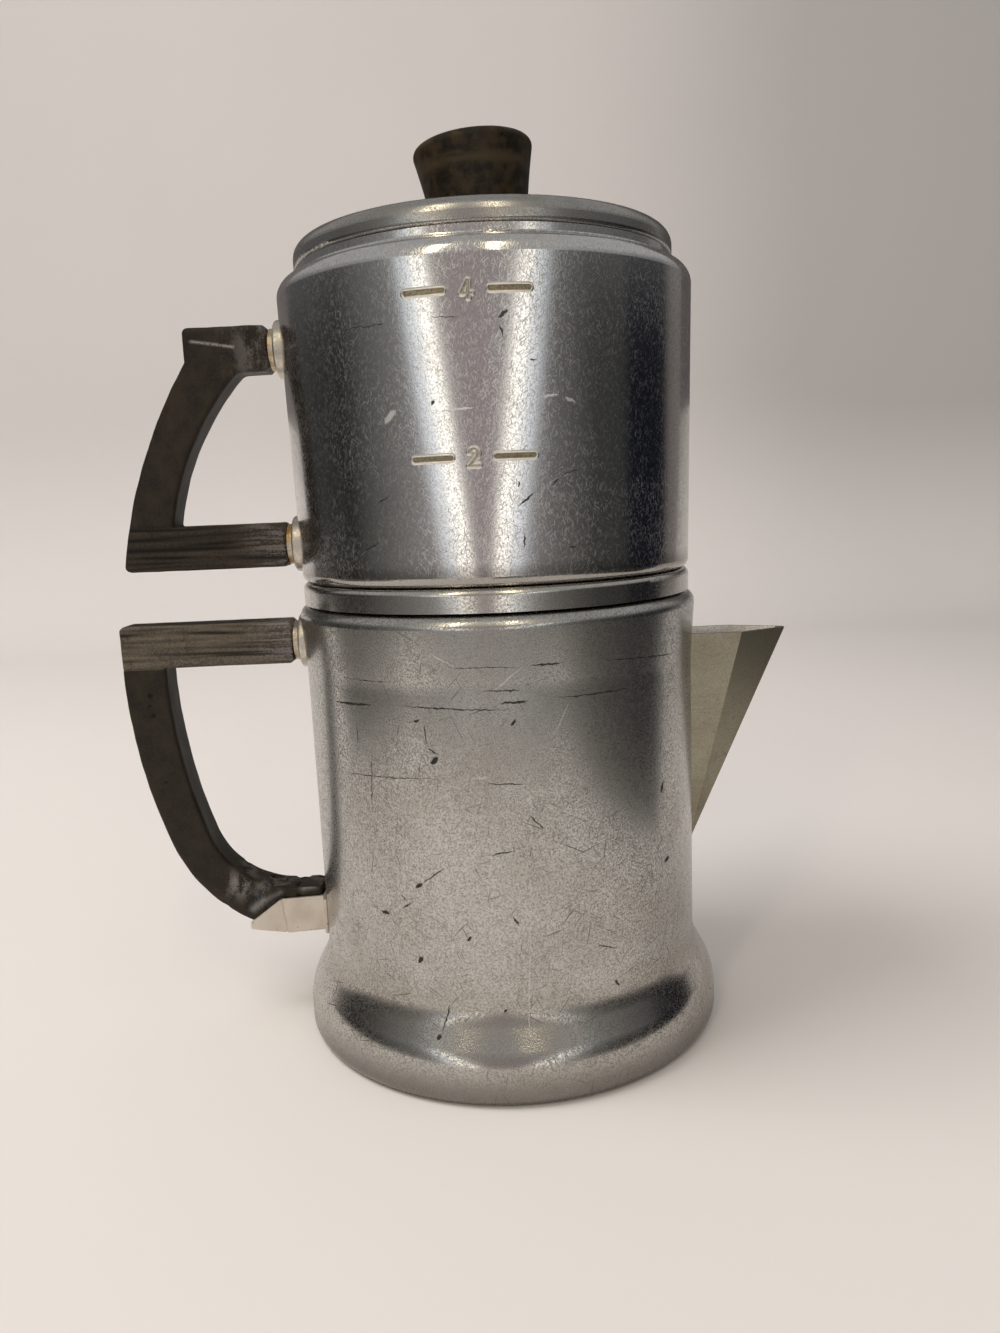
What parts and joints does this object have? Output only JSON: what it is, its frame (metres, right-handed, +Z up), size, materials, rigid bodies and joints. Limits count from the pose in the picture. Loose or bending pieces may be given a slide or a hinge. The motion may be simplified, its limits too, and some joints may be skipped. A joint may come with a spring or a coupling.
{
  "type": "drip coffee pot",
  "caption": "Stacking aluminium drip coffee pot: spouted server, strainer basket, water reservoir with cup marks and a knobbed lid, with dark moulded handles.",
  "frame": {"origin": "centre of the server's flat base, on the table", "axes": "+Z up along the pot's axis, +X towards the spout, -X towards the handles, -Y towards the marked front"},
  "size_m": [0.1828, 0.1158, 0.2346],
  "materials": {
    "server_aluminium": "worn, satin grey, scratched",
    "basket_aluminium": "satin",
    "reservoir_aluminium": "worn polish",
    "lid_aluminium": "satin polish",
    "fitting_aluminium": "cast, dull",
    "dark_moulding": "dull brown-black moulding",
    "screw_steel": "dull plated steel"
  },
  "bodies": {
    "server": {"server_shell": "server_aluminium", "server_spout": "server_aluminium", "server_handle": "dark_moulding", "server_handle_ferrule": "fitting_aluminium", "server_handle_screw": "screw_steel", "server_handle_washer": "screw_steel", "server_handle_shoe": "fitting_aluminium"},
    "basket": {"coffee_basket": "basket_aluminium"},
    "spreader": {"spreader_plate": "basket_aluminium", "spreader_knob": "basket_aluminium"},
    "reservoir": {"reservoir_shell": "reservoir_aluminium", "reservoir_handle": "dark_moulding", "reservoir_lower_ferrule": "fitting_aluminium", "reservoir_lower_screw": "screw_steel", "reservoir_lower_washer": "screw_steel", "reservoir_upper_ferrule": "fitting_aluminium", "reservoir_upper_screw": "screw_steel", "reservoir_upper_washer": "screw_steel"},
    "lid": {"lid_shell": "lid_aluminium", "lid_knob": "dark_moulding", "lid_knob_screw": "screw_steel", "lid_knob_washer": "screw_steel"}
  },
  "joints": [
    {"name": "basket_lift", "type": "slide", "parent": "server", "child": "basket", "axis": [0, 0, 1], "range_m": [0, 0.06]},
    {"name": "spreader_lift", "type": "slide", "parent": "basket", "child": "spreader", "axis": [0, 0, 1], "range_m": [0, 0.03]},
    {"name": "reservoir_lift", "type": "slide", "parent": "spreader", "child": "reservoir", "axis": [0, 0, 1], "range_m": [0, 0.025]},
    {"name": "lid_lift", "type": "slide", "parent": "reservoir", "child": "lid", "axis": [0, 0, 1], "range_m": [0, 0.025]}
  ]
}
